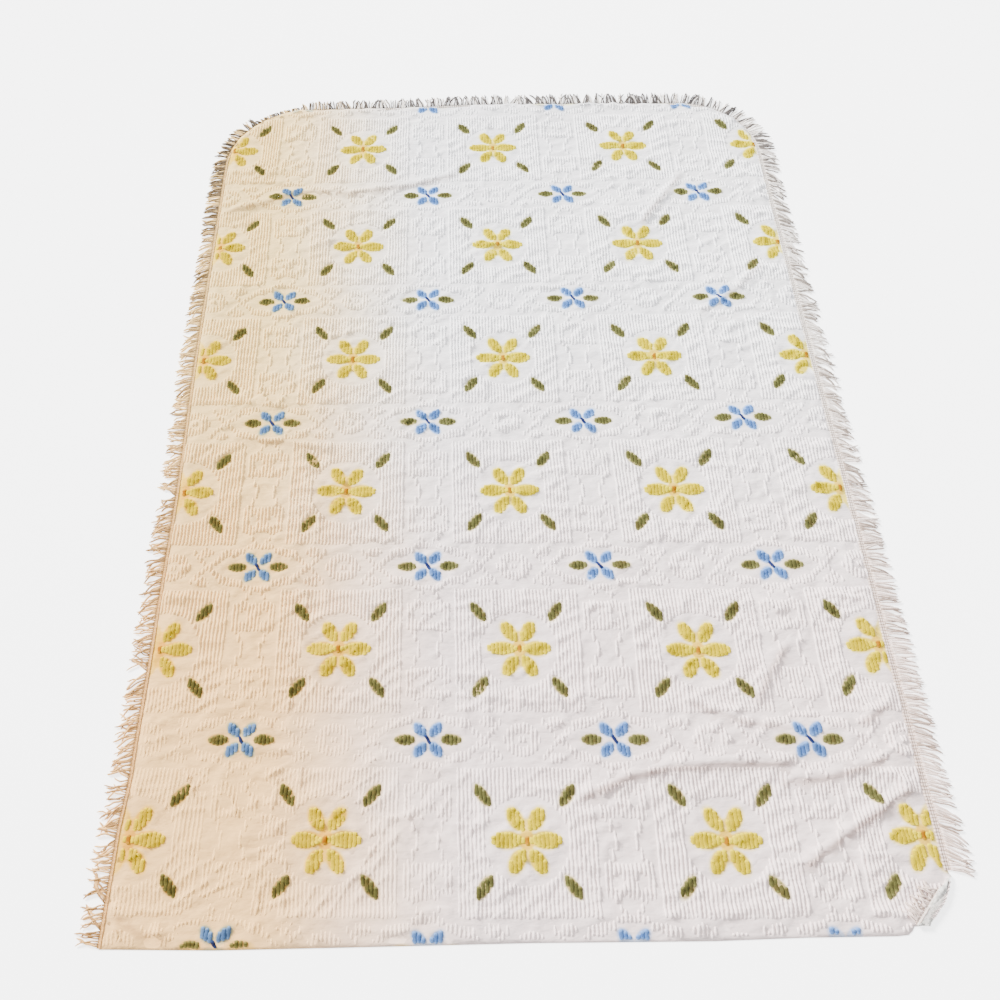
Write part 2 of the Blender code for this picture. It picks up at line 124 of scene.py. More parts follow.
GROUND = 0.001  # thickness of the woven ground alone
GRID_STEP = 0.0088  # distance between points on the cloth's face
UNDER_STEP = 0.03  # and on its underside
EDGE_STEP = 0.009
FLAP_HEM_STEP = 0.003
JOIN_WITHIN = 1e-7  # points of the ground nearer than this are one
REPEAT = 0.4572  # the pattern's repeat, both ways
PATTERN_X = 0.004  # where the pattern's own origin lies, in repeats
PATTERN_Y = -2.555
ROWS_PER_REPEAT = 48
ROW_STEP = 0.0042  # half a tuft
SELVEDGE = 0.0075  # bare cloth along the edge
COLOURED_MARGIN = 0.0055  # and where no coloured pile is
YELLOW_MARGIN = 0.015  # and no yellow pile
SAMPLES_PER_REPEAT = 600  # how finely a row is read from the pattern
WAVE_FLOOR = 0.0002  # the cloth touches the floor between its waves
FOLD_SHADE_FROM_CREST = (-0.003, -0.012)  # where a fold's foot lies, on its head side, away from the light: the middle of its painted shade with some grime
FOLD_SHADE_WIDTH = 0.0085
FOLD_HEIGHT_FOR_FULL_SHADE = 0.009  # height of the fold whose painted shade is darkest
WHOLE_TURN = 2 * np.pi

rng = np.random.default_rng(1954)


# ---- reading the tables ----

def between(rows, at, column, ease=False):
    """A column's value at places along a table's first column."""
    first = [row[0] for row in rows]
    values = [getattr(row, column) for row in rows]
    if not ease:
        return np.interp(at, first, values)
    counts = np.arange(len(rows))
    place = np.interp(at, first, counts)
    share = place - np.floor(place)
    eased = np.floor(place) + 0.5 - 0.5 * np.cos(np.pi * share)
    return np.interp(eased, counts, values)


def rise(share):
    """A smooth step from 0 to 1."""
    share = np.clip(share, 0.0, 1.0)
    return share * share * (3 - 2 * share)


def distance_to_line(x, y, line):
    """How far points are from a line, how far along it their nearest points are, and its length."""
    best = np.full(x.shape, np.inf)
    along = np.zeros(x.shape)
    walked = 0.0
    for (x0, y0), (x1, y1) in zip(line, line[1:]):
        run_x, run_y = x1 - x0, y1 - y0
        length = math.hypot(run_x, run_y)
        share = np.clip(((x - x0) * run_x + (y - y0) * run_y) / length**2, 0, 1)
        gap = np.hypot(x - x0 - share * run_x, y - y0 - share * run_y)
        nearer = gap < best
        best = np.where(nearer, gap, best)
        along = np.where(nearer, walked + share * length, along)
        walked += length
    return best, along, walked


# ---- the cloth's flat outline ----

LEFT_CENTRE = (SIDES[-1].left + LEFT_CORNER_RADIUS, FOOT[0].y - LEFT_CORNER_RADIUS)
RIGHT_CENTRE = (SIDES[-1].right - RIGHT_CORNER_RADIUS, FOOT[-1].y - RIGHT_CORNER_RADIUS)


def arc(centre, radius, start_degrees, end_degrees, step):
    """Points round a corner."""
    turn = math.radians(end_degrees - start_degrees)
    count = math.ceil(abs(turn) * radius / step)
    angles = math.radians(start_degrees) + turn * np.arange(count + 1) / count
    return np.column_stack((centre[0] + radius * np.cos(angles), centre[1] + radius * np.sin(angles)))


def side_points(column, low, high, step):
    """Points up one long edge."""
    y = np.linspace(low, high, math.ceil((high - low) / step) + 1)
    return np.column_stack((between(SIDES, y, column, ease=True), y))


def trim_line(step):
    """The edge with the fringe, from the head end of the left side round to the turned corner."""
    left = side_points("left", HEM[0].y, LEFT_CENTRE[1], step)
    x = np.linspace(LEFT_CENTRE[0], RIGHT_CENTRE[0], math.ceil((RIGHT_CENTRE[0] - LEFT_CENTRE[0]) / step) + 1)
    foot = np.column_stack((x, between(FOOT, x, "y", ease=True)))
    right = side_points("right", CORNER[-1].y, RIGHT_CENTRE[1], step)[::-1]
    left_arc = arc(LEFT_CENTRE, LEFT_CORNER_RADIUS, 180, 90, step)
    right_arc = arc(RIGHT_CENTRE, RIGHT_CORNER_RADIUS, 90, 0, step)
    return np.concatenate((left, left_arc[1:], foot[1:], right_arc[1:], right[1:]))


def stepped(points, step):
    """A polyline with more points in it."""
    found = [np.array(points[:1], float)]
    for start, end in zip(np.array(points[:-1], float), np.array(points[1:], float)):
        count = max(1, math.ceil(np.linalg.norm(end - start) / step - 1e-6))
        found.append(start + (end - start) * np.arange(1, count + 1)[:, None] / count)
    return np.concatenate(found)


def flat_outline(step):
    """The flat cloth's edge, counter-clockwise from the left end of the hem."""
    hem = stepped([*HEM, (CORNER[0].fold_x, CORNER[0].y)], step)
    turned = stepped([(t.fold_x + t.turned, t.y) for t in CORNER], step)
    flap_hem = stepped([hem[-1], turned[0]], FLAP_HEM_STEP)
    return np.concatenate((hem, flap_hem[1:], turned[1:-1], trim_line(step)[:0:-1]))


def right_edge(y):
    """The flat cloth's right edge, with the part that is turned over."""
    low = between(CORNER, y, "fold_x") + between(CORNER, y, "turned")
    return np.where(y < CORNER[-1].y, low, between(SIDES, y, "right", ease=True))


def inset(x, y):
    """How far points of the flat cloth lie inside its edge."""
    hem = np.where(x > HEM[-1].x, CORNER[0].y, between(HEM, x, "y"))
    found = np.minimum(x - between(SIDES, y, "left", ease=True), right_edge(y) - x)
    found = np.minimum(found, np.minimum(y - hem, between(FOOT, x, "y", ease=True) - y))
    for centre, radius, outward in ((LEFT_CENTRE, LEFT_CORNER_RADIUS, -1), (RIGHT_CENTRE, RIGHT_CORNER_RADIUS, 1)):
        in_corner = ((x - centre[0]) * outward > 0) & (y > centre[1])
        found = np.where(in_corner, radius - np.hypot(x - centre[0], y - centre[1]), found)
    return found


# ---- how the cloth lies ----

def any_turn():
    """An angle drawn from a whole turn."""
    return rng.uniform(0, WHOLE_TURN)


def heading(length, turn):
    """How far a wave of that length turns a metre along x and along y."""
    return WHOLE_TURN / length * math.cos(turn), WHOLE_TURN / length * math.sin(turn)


# Shallow waves in all directions.
WAVES = [(0.00085 * length**0.55, heading(length, any_turn()), any_turn()) for length in np.geomspace(0.055, 0.42, 26)]


def make_ripple(length):
    """Patches of small puckers, most of them across the rows of pile."""
    along = heading(2 * length, math.radians(90 + rng.normal(0, 32)))
    warp = heading(rng.uniform(0.09, 0.2), any_turn())
    patch = heading(rng.uniform(0.25, 0.5), any_turn())
    return 0.0032 * (length / 0.06)**0.9, along, any_turn(), warp, patch, any_turn()


RIPPLES = [make_ripple(length) for length in np.geomspace(0.034, 0.085, 14)]


def fold_ends(along, length):
    """How fully a fold stands at distances along it."""
    return rise(along / FOLD_END) * rise((length - along) / FOLD_END)


def fold_height(x, y, folds):
    """How high a set of folds stands."""
    height = np.zeros(x.shape)
    for fold in folds:
        line = np.array(fold.line)
        low, high = line.min(0) - fold.half_width, line.max(0) + fold.half_width
        near = (x > low[0]) & (x < high[0]) & (y > low[1]) & (y < high[1])
        gap, along, length = distance_to_line(x[near], y[near], fold.line)
        crown = 0.5 + 0.5 * np.cos(np.pi * np.clip(gap / fold.half_width, 0, 1))
        height[near] = np.maximum(height[near], fold.height * crown * fold_ends(along, length))
    return height


def grime_at(x, y):
    """How much painted shade, with some grime, lies along the foot of the folds, on their head side away from the
    light.
    """
    grime = np.zeros(x.shape)
    for fold in FOLDS:
        gap, along, length = distance_to_line(x - FOLD_SHADE_FROM_CREST[0], y - FOLD_SHADE_FROM_CREST[1], fold.line)
        share = np.exp(-(gap / FOLD_SHADE_WIDTH)**2) * fold_ends(along, length) * fold.height / FOLD_HEIGHT_FOR_FULL_SHADE
        grime = np.maximum(grime, share)
    return grime


def ripple_height(x, y):
    """How high the puckers stand."""
    height = np.zeros(x.shape)
    for high, along, phase, warp, patch, patch_phase in RIPPLES:
        bend = 1.1 * np.sin(warp[0] * x + warp[1] * y)
        crest = (1 - np.abs(np.sin(along[0] * x + along[1] * y + phase + bend)))**1.6
        height += high * crest * np.clip(np.sin(patch[0] * x + patch[1] * y + patch_phase), 0, 1)**1.5
    return height


def lift(x, y):
    """How high the underside of the cloth is held above the floor."""
    edge = np.minimum(x - between(SIDES, y, "left", ease=True), between(SIDES, y, "right", ease=True) - x)
    edge = np.minimum(edge, y - between(HEM, x, "y"))
    height = fold_height(x, y, FOLDS) + fold_height(x, y, CREASES)
    waves = sum(high * np.sin(along[0] * x + along[1] * y + phase) for high, along, phase in WAVES)
    return (height + ripple_height(x, y) + np.maximum(waves + WAVE_FLOOR, 0)) * rise(edge / EDGE_CALM)


def laid(u, y):
    """Where the middle of the cloth lies, for points of the flat cloth."""
    fold_x = between(CORNER, y, "fold_x")
    past = np.where((y <= CORNER[-1].y) & (u >= CORNER[0].fold_x), u - fold_x, -1.0)
    flat = past <= 0
    angle = np.clip(past / BEND_RADIUS, 0, np.pi)
    back = np.maximum(past - angle * BEND_RADIUS, 0)
    x = np.where(flat, u, fold_x + BEND_RADIUS * np.sin(angle) - back)
    z = THICKNESS / 2 + np.where(flat, lift(u, y), BEND_RADIUS * (1 - np.cos(angle)))
    return np.stack((x, y, z), axis=-1)


def unit(vectors):
    """Vectors made one long."""
    return vectors / np.linalg.norm(vectors, axis=-1, keepdims=True)


def cloth_frame(u, y):
    """Middle, direction across and normal, for points of the flat cloth."""
    across = laid(u + NORMAL_REACH, y) - laid(u - NORMAL_REACH, y)
    along = laid(u, y + NORMAL_REACH) - laid(u, y - NORMAL_REACH)
    return laid(u, y), unit(across), unit(np.cross(across, along))


# ---- meshes from arrays ----


def make_object(name, data):
    """A new object in the scene."""
    made = bpy.data.objects.new(name, data)
    bpy.context.scene.collection.objects.link(made)
    return made


def make_mesh(name, points, faces, material, values):
    """A piece from arrays of points, of faces with as many corners, and of the points' values."""
    mesh = bpy.data.meshes.new(name)
    mesh.from_pydata((points + (*SHIFT, 0.0)).tolist(), [], faces.tolist(), shade_flat=False)
    for label, column in values.items():
        mesh.attributes.new(label, "FLOAT", "POINT").data.foreach_set("value", column.astype(np.float32))
    mesh.materials.append(material)
    made = make_object(name, mesh)
    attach(made, "root")
    return made


def ridge_mesh(name, middle, across, up, half, height, first, section, material, values):
    """Joined ridges, with a section in shares of their half width and height at each place."""
    shape = np.array(section)
    rings = (middle[:, None] + across[:, None] * half[:, None, None] * shape[:, :1]
             + up[:, None] * height[:, None, None] * shape[:, 1:])
    count = len(section)
    starts = np.nonzero(~first[1:])[0]
    low, high = starts * count, (starts + 1) * count
    strips = [np.column_stack((low + k + 1, low + k, high + k, high + k + 1)) for k in range(count - 1)]
    spread = {label: np.repeat(column, count) for label, column in values.items()}
    return make_mesh(name, rings.reshape(-1, 3), np.concatenate(strips), material, spread)


def tube_mesh(name, paths, radii, material, values):
    """Joined tubes: paths is (tube, point, 3) and radii is (tube, point)."""
    sides = 4
    run = unit(np.gradient(paths, axis=1))
    side = unit(np.cross(run, np.array((0.0, 0.0, 1.0)) + 1e-4))
    up = np.cross(side, run)
    angles = WHOLE_TURN * (np.arange(sides) + 0.5) / sides
    offsets = (side[:, :, None] * np.cos(angles)[:, None]
               + up[:, :, None] * np.sin(angles)[:, None])
    points = paths[:, :, None] + offsets * radii[:, :, None, None]
    tubes, length = paths.shape[:2]
    base = (np.arange(tubes) * length * sides)[:, None, None]
    ring = (np.arange(length - 1) * sides)[:, None]
    k = np.arange(sides)
    after = (k + 1) % sides
    low, high = base + ring, base + ring + sides
    quads = np.stack((low + k, low + after, high + after, high + k), -1).reshape(-1, 4)
    start = base[:, :, 0]
    ends = [start + np.array((3, 2, 1, 0)), start + (length - 1) * sides + np.array((0, 1, 2, 3))]
    spread = {label: np.repeat(column, length * sides) for label, column in values.items()}
    return make_mesh(name, points.reshape(-1, 3), np.concatenate([quads, *ends]), material, spread)


# ---- the woven ground ----

def triangulated(outline, step):
    """Points and triangles that fill the outline."""
    low, high = outline.min(0), outline.max(0)
    x, y = np.meshgrid(np.arange(low[0], high[0], step), np.arange(low[1], high[1], step))
    lattice = np.column_stack((x.ravel(), y.ravel())) + rng.uniform(-0.06, 0.06, (x.size, 2)) * step
    lattice = lattice[inset(lattice[:, 0], lattice[:, 1]) > 0.6 * EDGE_STEP]
    points = [Vector(p) for p in np.concatenate((outline, lattice))]
    rim = [(k, (k + 1) % len(outline)) for k in range(len(outline))]
    flat, _, triangles = delaunay_2d_cdt(points, rim, [], 0, JOIN_WITHIN, False)[:3]
    flat, triangles = np.array([tuple(p) for p in flat]), np.array(triangles)
    return flat, triangles[inset(*flat[triangles].mean(axis=1).T) > 0]


def make_ground(material):
    """The woven ground: one thin closed sheet."""
    outline = flat_outline(EDGE_STEP)
    layers, places = [], []
    for step, above in ((GRID_STEP, GROUND), (UNDER_STEP, 0.0)):
        flat, triangles = triangulated(outline, step)
        u, y = flat.T
        middle, _, up = cloth_frame(u, y)
        layers.append((middle + up * (above - THICKNESS / 2), triangles))
        turned = (u > between(CORNER, y, "fold_x")) & (y < CORNER[-1].y)
        places.append({**on_pattern(u, y), "turned": turned.astype(float)})
    (face, face_triangles), (under, under_triangles) = layers
    under[:, 2] = np.maximum(under[:, 2], 0.0)
    k = np.arange(len(outline))
    after = (k + 1) % len(outline)
    base = len(face)
    rim = np.concatenate((np.column_stack((k, base + k, base + after)), np.column_stack((k, base + after, after))))
    faces = np.concatenate((face_triangles, base + under_triangles[:, ::-1], rim))
    values = {label: np.concatenate([place[label] for place in places]) for label in places[0]}
    return make_mesh("ground", np.concatenate((face, under)), faces, material, values)


# ---- the tufted pattern ----
#
# Lengths are shares of the repeat. Yellow flowers lie at whole repeats and blue ones halfway between. Only one
# quarter of each motif is written down.

WHITE, YELLOW, OLIVE, BLUE, NAVY, TAN = range(6)

# Coloured dashes: their row, from where to where they run along it, both counted from the flower's middle, and
# how deep their dye is. A dash that starts below zero crosses the middle.
Dash = namedtuple("Dash", "kind row low high depth", defaults=[1.0])
YELLOW_FLOWER = table(
    Dash,
    (TAN, 0, -0.021, 0.021), (YELLOW, 1, -0.012, 0.012, 0.45), (YELLOW, 2, -0.019, 0.019, 0.6),
    (YELLOW, 3, -0.027, 0.027, 0.85), (YELLOW, 4, -0.033, 0.033), (YELLOW, 5, -0.036, 0.036),
    (YELLOW, 6, -0.036, 0.036), (YELLOW, 7, -0.032, 0.032), (YELLOW, 8, -0.018, 0.018, 0.7),
    (YELLOW, 1, 0.045, 0.098, 0.85), (YELLOW, 2, 0.049, 0.14), (YELLOW, 3, 0.066, 0.154),
    (YELLOW, 4, 0.094, 0.151, 0.9), (OLIVE, 9, 0.164, 0.212), (OLIVE, 10, 0.174, 0.24),
    (OLIVE, 11, 0.192, 0.26), (OLIVE, 12, 0.216, 0.272))
BLUE_FLOWER = table(
    Dash,
    (NAVY, 0, -0.023, 0.023), (BLUE, 1, 0.018, 0.061, 0.8), (BLUE, 2, 0.026, 0.079),
    (BLUE, 3, 0.036, 0.087, 0.8), (OLIVE, 4, -0.016, 0.016, 0.8), (OLIVE, 5, -0.025, 0.025),
    (OLIVE, 6, -0.028, 0.028), (OLIVE, 7, -0.023, 0.023), (OLIVE, 8, -0.012, 0.012, 0.7))

SQUARE = 0.354  # half the ribbed square
DISC = 0.215  # bare ground round a flower
BAND = 0.146  # half the band between squares
Stroke = namedtuple("Stroke", "half_length line")
STROKES = table(  # lines of short dashes in the bands
    Stroke,
    (0.019, [(0.085, 0.107), (0.185, 0.092), (0.3, 0.0)]), (0.017, [(0.3, 0.0), (0.39, 0.098)]),
    (0.017, [(0.0, 0.122), (0.066, 0.2)]))
UPRIGHT = Stroke(0.012, [(0.35, 0.106), (0.5, 0.045)])  # with its y first
Blob = namedtuple("Blob", "x y half_x half_y")
CLUSTERS = table(Blob, (0.318, 0.094, 0.04, 0.03), (0.175, 0.088, 0.05, 0.026), (0.052, 0.132, 0.03, 0.018))
BLOCK = Blob(0.0, 0.3, 0.117, 0.092)
BARE_IN_BLOCK = table(Blob, (0.055, 0.305, 0.024, 0.038), (0.0, 0.205, 0.06, 0.02), (0.115, 0.205, 0.035, 0.025))
RING, RING_HOLE, RING_DOT = 0.096, 0.042, 0.02
RING_SQUEEZE = 1.1


def in_blob(across, along, blob):
    """Points in an ellipse."""
    return ((across - blob.x) / blob.half_x)**2 + ((along - blob.y) / blob.half_y)**2 < 1


def in_stroke(across, along, stroke):
    """Points within a stroke's half length of its line, along the rows."""
    found = np.zeros(across.shape, bool)
    for (x0, y0), (x1, y1) in zip(stroke.line, stroke.line[1:]):
        level = y0 + (y1 - y0) * (across - x0) / (x1 - x0)
        found |= (across >= x0) & (across < x1) & (np.abs(along - level) < stroke.half_length)
    return found


def in_white(x, y):
    """Points of the pattern that are tufted in white."""
    fx, fy = np.abs(x - np.round(x)), np.abs(y - np.round(y))
    bx, by = 0.5 - fx, 0.5 - fy
    block = (np.abs(bx - BLOCK.x) < BLOCK.half_x) & (np.abs(by - BLOCK.y) < BLOCK.half_y) & (by > BAND)
    for bare in BARE_IN_BLOCK:
        block &= ~in_blob(bx, by, bare)
    ring = np.hypot(0.5 - bx, by * RING_SQUEEZE)
    band = block | in_stroke(by, bx, UPRIGHT) | ((ring < RING) & (ring > RING_HOLE)) | (ring < RING_DOT)
    for stroke in STROKES:
        band |= in_stroke(bx, by, stroke)
    for cluster in CLUSTERS:
        band |= in_blob(bx, by, cluster)
    return np.where((fx < SQUARE) & (fy < SQUARE), np.hypot(fx, fy) > DISC, band)


def charted(row, low, high):
    """The coloured dashes of one row: kind, start, end and depth."""
    found = []
    for flower, offset in ((YELLOW_FLOWER, 0.0), (BLUE_FLOWER, 0.5)):
        half = ROWS_PER_REPEAT / 2
        from_middle = abs((row - offset * ROWS_PER_REPEAT + half) % ROWS_PER_REPEAT - half)
        for dash in (dash for dash in flower if dash.row == from_middle):
            for middle in np.arange(math.floor(low), math.ceil(high) + 1) + offset:
                found.append((dash.kind, middle + dash.low, middle + dash.high, dash.depth))
                if dash.low > 0:
                    found.append((dash.kind, middle - dash.high, middle - dash.low, dash.depth))
    return found


# Where the cloth is out of true: by how much, and over what distance.
PULLS = table(
    namedtuple("Pull", "x y by_x by_y reach"),
    (-1.0, 0.0, -0.02, 0.0, 0.45), (0.0, 1.0, 0.011, 0.0, 0.45), (1.0, 1.0, 0.0, -0.013, 0.45),
    (-1.5, 4.5, -0.018, 0.0, 0.5), (0.5, 2.5, -0.013, 0.0, 0.45), (1.5, 2.5, 0.0, 0.018, 0.45),
    (0.5, 0.5, -0.01, 0.0, 0.45), (1.5, 0.5, 0.012, 0.0, 0.45), (-2.0, 0.0, -0.024, 0.0, 0.38),
    (-2.0, 1.0, -0.01, 0.0, 0.38), (2.0, 0.0, -0.02, 0.028, 0.38), (2.0, 1.0, -0.004, 0.018, 0.38),
    (-1.5, -0.5, -0.034, 0.02, 0.38), (-1.5, 5.5, 0.0, 0.044, 0.3), (0.5, -0.5, -0.01, 0.012, 0.38),
    (1.5, -0.5, 0.0, 0.026, 0.38))


def on_cloth(x, y):
    """Places on the flat cloth, in metres, of the pattern's points."""
    moved_x, moved_y = x.copy(), y.copy()
    for pull in PULLS:
        weight = np.exp(-((x - pull.x)**2 + (y - pull.y)**2) / (2 * pull.reach**2) * 4)
        moved_x += pull.by_x * weight
        moved_y += pull.by_y * weight
    return (moved_x + PATTERN_X) * REPEAT, (moved_y + PATTERN_Y) * REPEAT


def on_pattern(u, y):
    """The values that materials read, at places on the flat cloth."""
    start_x, start_y = u / REPEAT - PATTERN_X, y / REPEAT - PATTERN_Y
    found_x, found_y = start_x.copy(), start_y.copy()
    for _ in range(3):
        there_u, there_y = on_cloth(found_x, found_y)
        found_x += start_x - (there_u / REPEAT - PATTERN_X)
        found_y += start_y - (there_y / REPEAT - PATTERN_Y)
    return {"pattern_x": found_x, "pattern_y": found_y, "to_edge": inset(u, y), "grime": grime_at(u, y)}


# ---- the pile ----

# The tones go from dark to light. Where dye is thin, the pile is pale.
Pile = namedtuple("Pile", "kind half height tones pale")
WHITE_PILE = Pile(WHITE, 0.0037, 0.0033, [(0.85, 0.832, 0.838), (0.97, 0.958, 0.965)], None)
DYED_PILES = {
    "petals_yellow": Pile(YELLOW, 0.0056, 0.0031, [(0.32, 0.24, 0.0), (0.5, 0.408, 0.0)], (0.68, 0.58, 0.01)),
    "leaves_olive": Pile(OLIVE, 0.005, 0.0032, [(0.066, 0.05, 0.016), (0.048, 0.054, 0.018), (0.104, 0.11, 0.036)],
                         (0.2, 0.2, 0.07)),
    "petals_blue": Pile(BLUE, 0.0052, 0.0032, [(0.038, 0.082, 0.2), (0.058, 0.14, 0.37)], (0.15, 0.29, 0.58)),
    "hearts_navy": Pile(NAVY, 0.0046, 0.0036, [(0.008, 0.012, 0.05), (0.02, 0.03, 0.11)], (0.03, 0.06, 0.2)),
    "hearts_tan": Pile(TAN, 0.0058, 0.0033, [(0.21, 0.08, 0.002), (0.34, 0.145, 0.004)], (0.48, 0.28, 0.02)),
}
WHITE_ZONES = {  # pieces of white pile, by where they lie along the pattern
    "pile_head": (-1.0, 0.95), "pile_lower": (0.95, 2.55), "pile_upper": (2.55, 4.05), "pile_foot": (4.05, 6.0)}
LOW_SECTION = [(-1.0, 0.0), (-0.48, 1.0), (0.48, 1.0), (1.0, 0.0)]
ROUND_SECTION = [(-1.0, 0.0), (-0.9, 0.66), (-0.45, 1.0), (0.45, 1.0), (0.9, 0.66), (1.0, 0.0)]
PILE_SINK = 0.0003  # how deep the pile's foot is in the ground
TUFT_UNEVEN = 0.15  # how much one tuft differs from the next
END_REACH = 0.0016  # how far a dash's rounded end reaches past its last tuft
CLEAR = 0.006  # white pile stays this far from coloured dashes, in repeats
HEART_SLANT = 0.55  # how far a navy heart leans across its row, for its length
SHORTEST = 0.0035  # a dash shorter than this isn't tufted
END_TAPER = {True: (0.22, 0.72, 0.9, 1.0), False: (0.42, 0.88, 1.0, 1.0)}  # by whether the pile is white
WORN = 0.6  # how much lower the white pile is towards the head's left corner
DYE_FADE = 0.011  # how far from a dash's ends its dye is full, in repeats
RAGGED = {True: 0.004, False: 0.0024}  # how unevenly its ends lie, in repeats
ROW_SWAYS = ((0.0006, 41, 17), (0.0004, 133, 59))  # how far rows sway, and how fast along and across them
ROW_JITTER = 0.00028


def spans(covered, y):
    """Starts and ends of the runs where something is true."""
    edges = np.nonzero(np.diff(np.concatenate(([False], covered, [False])).astype(int)))[0]
    return [(y[start], y[end - 1]) for start, end in edges.reshape(-1, 2)]


def read_rows():
    """Every dash of pile: kind, row, start and end, in repeats, and how deep its dye is."""
    first_row = math.floor((SIDES[0].left / REPEAT - PATTERN_X) * ROWS_PER_REPEAT)
    last_row = math.ceil((SIDES[0].right / REPEAT - PATTERN_X) * ROWS_PER_REPEAT)
    low, high = HEM[1].y / REPEAT - PATTERN_Y - 0.1, FOOT[2].y / REPEAT - PATTERN_Y + 0.1
    y = np.arange(low, high, 1 / SAMPLES_PER_REPEAT)
    coloured_rows = {row: charted(row, low, high) for row in range(first_row, last_row + 2)}
    dashes = []
    for row in range(first_row, last_row + 1):
        place = np.full(y.shape, row / ROWS_PER_REPEAT)
        to_edge = inset(*on_cloth(place, y))
        for kind, start, end, depth in coloured_rows[row]:
            clear = to_edge > (YELLOW_MARGIN if kind == YELLOW else COLOURED_MARGIN)
            for begun, ended in spans(clear & (y > start) & (y < end), y):
                dashes.append((kind, place[0], begun, ended, depth))
        place = place + 0.5 / ROWS_PER_REPEAT
        white = in_white(place, y) & (inset(*on_cloth(place, y)) > SELVEDGE)
        for _, start, end, _ in coloured_rows[row] + coloured_rows[row + 1]:
            white &= (y < start - CLEAR) | (y > end + CLEAR)
        dashes.extend((WHITE, place[0], begun, ended, 1.0) for begun, ended in spans(white, y))
    return [dash for dash in dashes if (dash[3] - dash[2]) * REPEAT > SHORTEST]


def make_pile(name, dashes, pile, section, material):
    """One piece of pile, from its dashes."""
    is_white = pile.kind == WHITE
    ragged, reach = RAGGED[is_white], END_REACH / REPEAT
    columns = []
    for _, row, start, end, depth in dashes:
        start += rng.uniform(-ragged, ragged)
        end += rng.uniform(-ragged, ragged)
        tufts = max(2, round((end - start) * REPEAT / ROW_STEP))
        marks = start + (end - start) * np.arange(tufts + 1) / tufts
        marks = np.concatenate(([start - reach], marks, [end + reach]))
        k = np.arange(len(marks))
        bead = 1 + TUFT_UNEVEN * (np.where(k % 2 == 0, 1, -1) * 0.6 + rng.normal(0, 0.6, len(marks)))
        bead = bead * np.interp(np.minimum(k, k[::-1]), (0, 1, 2, 3), END_TAPER[is_white])
        slant = (marks - (start + end) / 2) * HEART_SLANT if pile.kind == NAVY else 0.0
        tint = np.repeat(rng.uniform(0, 1, (len(marks) + 1) // 2), 2)[:len(marks)] * 0.6 + rng.uniform(0, 0.4)
        deep = depth * rise(np.minimum(marks - marks[0], marks[-1] - marks) / DYE_FADE)
        columns.append(np.stack((row - slant + 0 * marks, marks, bead, tint, deep, k == 0)))
    row, along, bead, tint, deep, first = np.concatenate(columns, axis=1)
    u, y = on_cloth(row, along)
    u = u + sum(far * np.sin(y * on_y + row * on_row) for far, on_y, on_row in ROW_SWAYS)
    u = u + rng.normal(0, ROW_JITTER, len(u))
    middle, across, up = cloth_frame(u, y)
    foot = middle + up * (GROUND - PILE_SINK - THICKNESS / 2)
    turned_tone_and_pile_drop = 1 - WORN * rise((0.45 - u) / 1.1) * rise((-0.35 - y) / 0.7) if is_white else 1.0
    values = {"tint": tint, "depth": deep, "pattern_x": row, "pattern_y": along}
    values.update(to_edge=inset(u, y), grime=grime_at(u, y))
    half, height = pile.half * bead, pile.height * bead * turned_tone_and_pile_drop
    return ridge_mesh(name, foot, across, up, half, height, first > 0, section, material, values)


# ---- the fringe ----

STRAND_PITCH = 0.0048
STRAND_RADIUS = 0.0027
STRAND_POINTS = 9
STRAND_TIP = 0.45  # a strand's last radius, as a share of the others
STRAND_BOW = 0.24  # how much a strand bends to one side
STRAND_WAVE = (0.0006, 0.0026)
STRAND_DROP = 0.35  # the share of its length in which it comes down
CLUMP_SIZES = (1, 2, 2, 3, 3, 4, 5)
CLUMP_LEAN, STRAND_LEAN = 0.3, 0.08
HEADER_WIDTH = 0.008
HEADER_STEP = 0.0026
HEADER_HEIGHT = 0.0022
HEADER_CORDS = ((-0.55, 0.27), (0.0, 0.29), (0.55, 0.29))  # places and half widths, in header widths
ROPE_SECTION = [(-1.0, 0.0), (-0.8, 0.75), (0.0, 1.0), (0.8, 0.75), (1.0, 0.0)]
FLAP_LEVEL = THICKNESS / 2 + 2 * BEND_RADIUS


def along_trim(*stops):
    """A value along a trim: stops are (distance, value)."""
    return lambda distance: np.interp(distance, *zip(*stops))


# Painted shade: dark strands and dark header beads stand for the shadow between the strands, darkest along the foot.
DARKEST_SHADE_STRAND = along_trim((0.0, 0.3), (1.2, 0.26), (2.0, 0.14), (2.6, 0.0), (4.4, 0.0), (5.0, 0.14), (7.2, 0.3))
SHADE_CORD_TINT = along_trim((0.0, 0.62), (2.2, 0.5), (2.5, 0.1), (6.0, 0.2))
REACH_SHARE = along_trim((0.0, 1.1), (2.0, 1.0), (3.0, 0.85), (4.6, 1.1))


class Track:
    """A line in plan, read by the distance along it."""

    def __init__(self, points):
        self.points = points
        self.marks = np.concatenate(([0], np.cumsum(np.linalg.norm(np.diff(points, axis=0), axis=1))))
        self.length = self.marks[-1]

    def at(self, distance):
        """Points at distances along the line."""
        return np.column_stack([np.interp(distance, self.marks, self.points[:, k]) for k in (0, 1)])

    def outward(self, distance, reach=0.012):
        """Directions away from the cloth."""
        low, high = np.clip(distance - reach, 0, self.length), np.clip(distance + reach, 0, self.length)
        run = unit(self.at(high) - self.at(low))
        return np.column_stack((-run[:, 1], run[:, 0]))


# A run of fringe: its track; along it, its strands' reach, its header's width, how far the strands lean, how
# wild they are and how many are darkened as painted shade; and the heights where they start and end, and of the
# header.
Run = namedtuple("Run", "track reach width lean wildness dark_share start_height foot_height header_height")


